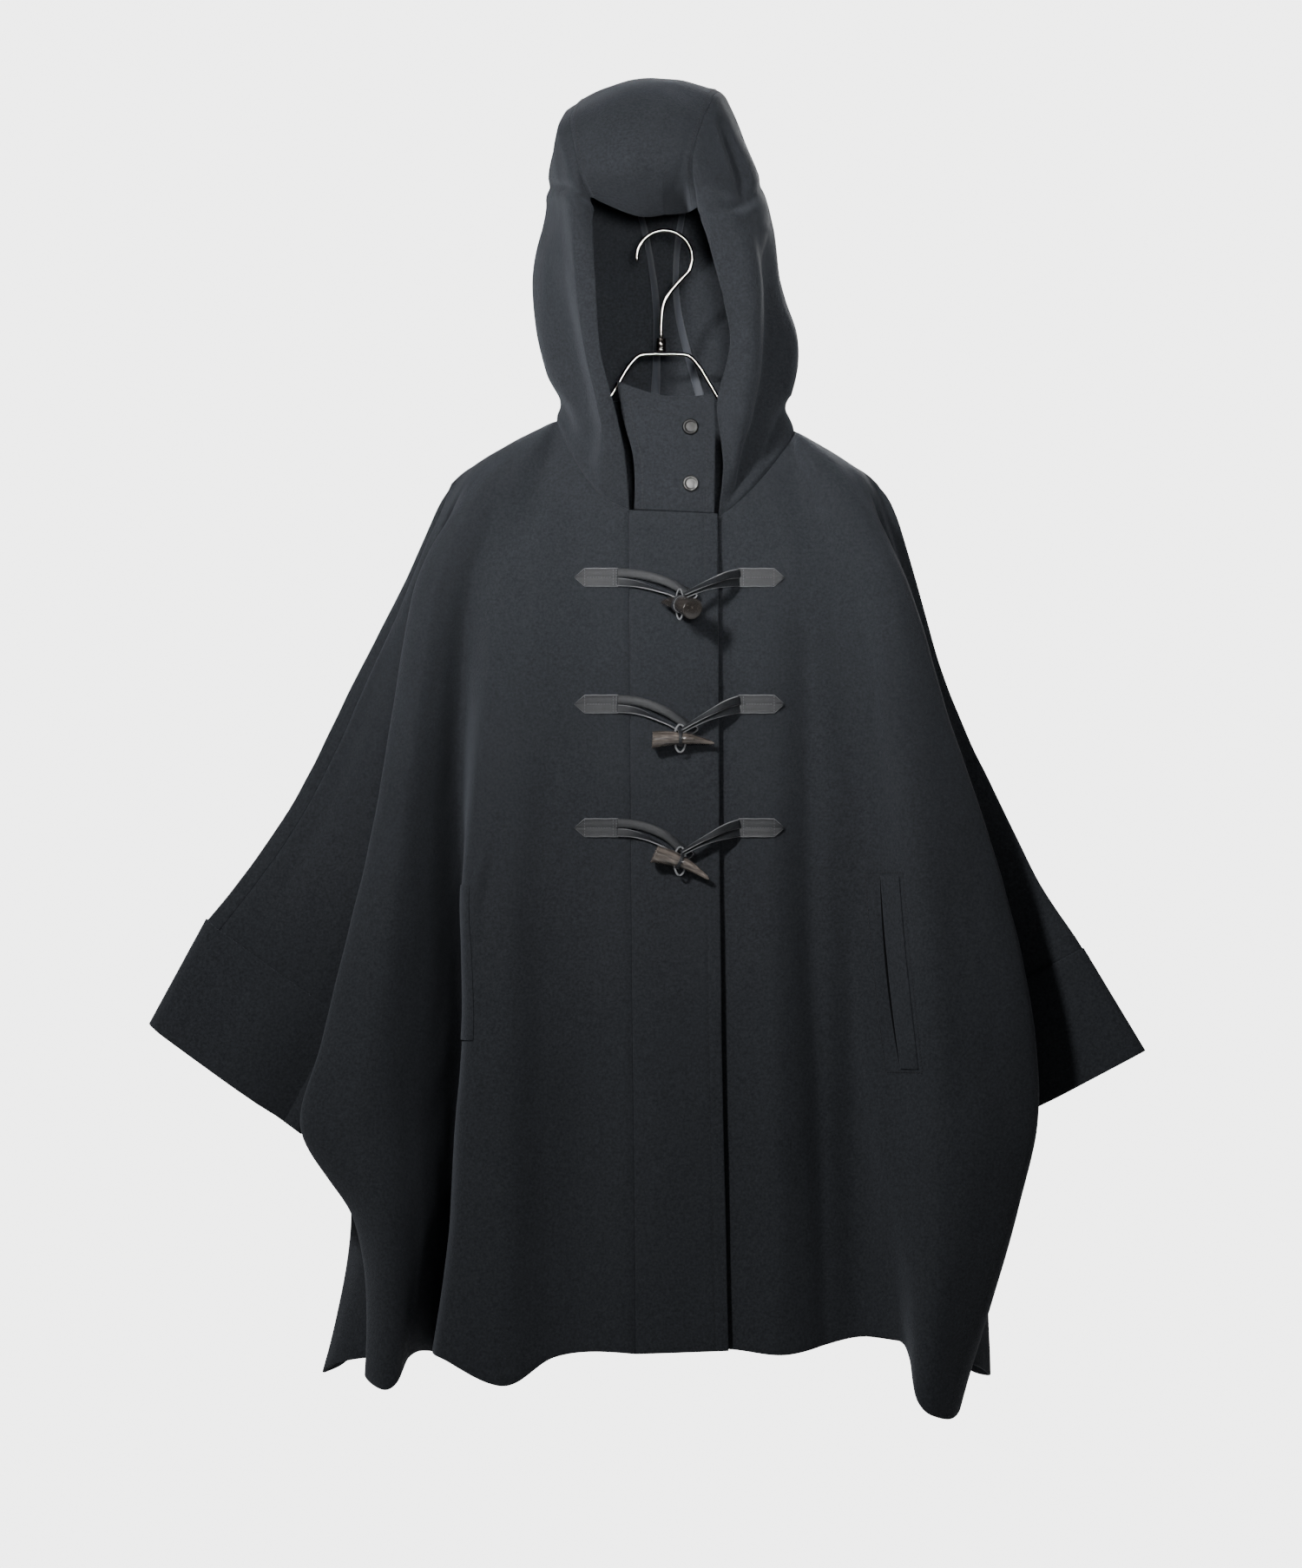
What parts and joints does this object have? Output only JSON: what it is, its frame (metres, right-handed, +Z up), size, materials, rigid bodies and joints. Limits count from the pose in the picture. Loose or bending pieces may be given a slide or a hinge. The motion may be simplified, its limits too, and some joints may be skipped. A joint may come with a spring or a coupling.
{
  "type": "hooded cape duffle coat on a hanger",
  "caption": "Hooded cape-shaped duffle coat with wide sleeves, turned cuffs, a chin tab with press studs and horn toggles, hanging from a wire hanger.",
  "frame": {"origin": "inner top of the hanger's hook, where the hanger rests on its rail", "axes": "+X towards the wearer's left, +Y from the front to the back, +Z up"},
  "size_m": [0.9164, 0.2177, 1.2268],
  "materials": {
    "melton": "brushed wool melton, near-black navy",
    "satin": "dark blue satin binding",
    "leather": "black, lightly glossed",
    "horn": "dark brown horn with lighter streaks",
    "snap_metal": "antique nickel",
    "hanger_metal": "satin champagne steel"
  },
  "bodies": {
    "root": {"coat_front_right": "melton", "coat_front_left": "melton", "coat_back": "melton", "front_placket": "melton", "collar_tab": "melton", "cuff_right": "melton", "cuff_left": "melton", "hood_centre": "melton", "hood_side_right": "melton", "hood_side_left": "melton", "pocket_welt_right": "melton", "pocket_welt_left": "melton", "hood_binding_right": "satin", "hood_binding_left": "satin", "snap_upper": "snap_metal", "snap_lower": "snap_metal", "toggle_1_loop_patch": "leather", "toggle_1_cord_patch": "leather", "toggle_1_loop": "leather", "toggle_1_cord": "leather", "toggle_1_ring": "leather", "toggle_2_loop_patch": "leather", "toggle_2_cord_patch": "leather", "toggle_2_loop": "leather", "toggle_2_cord": "leather", "toggle_2_ring": "leather", "toggle_3_loop_patch": "leather", "toggle_3_cord_patch": "leather", "toggle_3_loop": "leather", "toggle_3_cord": "leather", "toggle_3_ring": "leather", "toggle_1_horn": "horn", "toggle_2_horn": "horn", "toggle_3_horn": "horn", "hanger_hook": "hanger_metal", "hanger_ferrule": "hanger_metal", "hanger_yoke": "hanger_metal", "hanger_arm_right": "hanger_metal", "hanger_arm_left": "hanger_metal"}
  },
  "joints": []
}
